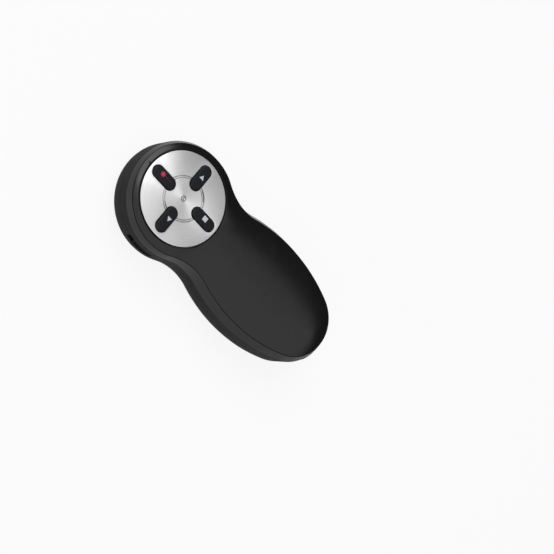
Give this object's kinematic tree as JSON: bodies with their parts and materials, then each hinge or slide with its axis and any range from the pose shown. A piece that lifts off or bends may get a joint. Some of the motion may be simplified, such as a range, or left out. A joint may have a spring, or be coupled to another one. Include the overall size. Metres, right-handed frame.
{
  "type": "wireless presentation clicker",
  "caption": "Handheld slide remote with a round metal face, a cross of keys, laser, side power switch, battery door and a USB receiver parked in the tail.",
  "frame": {"origin": "centre of the bounding box's base, on the face the clicker lies on", "axes": "+Y towards the laser end, +Z out of the keys, +X to the right seen from above with the laser away from you"},
  "size_m": [0.0468, 0.1076, 0.0251],
  "materials": {
    "soft_touch": "soft-touch lacquer over ABS, satin black",
    "lower_shell": "fine-textured black ABS",
    "spun_aluminium": "spun aluminium, clear anodised",
    "film": "black double-sided tape",
    "key_plastic": "matt blue-black ABS with printed icons",
    "switch_stem": "ivory nylon",
    "switch_case": "black moulded nylon",
    "board": "green solder mask on glass-epoxy",
    "chip": "moulded epoxy",
    "bright_steel": "nickel-plated steel",
    "can": "drawn aluminium can",
    "led": "LED moulding",
    "light_pipe": "smoked clear acrylic",
    "switch_metal": "folded tin-plated steel",
    "knob": "black ABS with moulded ridges",
    "brass": "turned brass",
    "lens": "coated lens",
    "window": "dark red acrylic",
    "lead": "insulated wire",
    "cell_jacket": "printed cell jacket",
    "contact": "nickel-plated spring steel",
    "sleeve": "black ABS",
    "receiver_case": "fine-textured black ABS",
    "plug_shell": "stamped nickel-plated steel",
    "tongue": "white moulded plastic",
    "gold": "gold-plated contacts",
    "screw": "black-zinc steel screw"
  },
  "bodies": {
    "pod": {"battery_cells": "cell_jacket", "board_screws": "screw", "bottom_shell": "lower_shell", "capacitor": "can", "case_screws": "screw", "cell_terminals": "bright_steel", "contact_springs": "contact", "control_chips": "chip", "crystal": "bright_steel", "disc_film": "film", "face_disc": "spun_aluminium", "front_contacts": "contact", "key_switches": "switch_case", "laser_barrel": "brass", "laser_board": "board", "laser_diode": "gold", "laser_leads": "lead", "laser_lens": "lens", "laser_window": "window", "light_pipe": "light_pipe", "main_board": "board", "power_switch": "switch_metal", "receiver_sleeve": "sleeve", "status_led": "led", "tail_contact": "contact", "top_shell": "soft_touch"},
    "laser_key": {"laser_button": "key_plastic", "laser_stem": "switch_stem"},
    "next_key": {"next_button": "key_plastic", "next_stem": "switch_stem"},
    "previous_key": {"previous_button": "key_plastic", "previous_stem": "switch_stem"},
    "blank_key": {"blank_button": "key_plastic", "blank_stem": "switch_stem"},
    "power_slider": {"power_knob": "knob"},
    "door": {"battery_door": "lower_shell"},
    "receiver": {"receiver_case": "receiver_case", "usb_shell": "plug_shell", "usb_tongue": "tongue", "usb_contacts": "gold", "receiver_board": "board"}
  },
  "joints": [
    {"name": "laser_press", "type": "slide", "parent": "pod", "child": "laser_key", "axis": [0, 0, -1], "range_m": [0, 0.0005], "stiffness_N_per_m": 2000, "springref_m": -0.0003},
    {"name": "next_press", "type": "slide", "parent": "pod", "child": "next_key", "axis": [0, 0, -1], "range_m": [0, 0.0005], "stiffness_N_per_m": 2000, "springref_m": -0.0003},
    {"name": "previous_press", "type": "slide", "parent": "pod", "child": "previous_key", "axis": [0, 0, -1], "range_m": [0, 0.0005], "stiffness_N_per_m": 2000, "springref_m": -0.0003},
    {"name": "blank_press", "type": "slide", "parent": "pod", "child": "blank_key", "axis": [0, 0, -1], "range_m": [0, 0.0005], "stiffness_N_per_m": 2000, "springref_m": -0.0003},
    {"name": "power_slide", "type": "slide", "parent": "pod", "child": "power_slider", "axis": [0, 1, 0], "range_m": [0, 0.0025]},
    {"name": "door_slide", "type": "slide", "parent": "pod", "child": "door", "axis": [0, -1, 0], "range_m": [0, 0.009]},
    {"name": "receiver_slide", "type": "slide", "parent": "pod", "child": "receiver", "axis": [0, -1, 0], "range_m": [0, 0.048]}
  ]
}
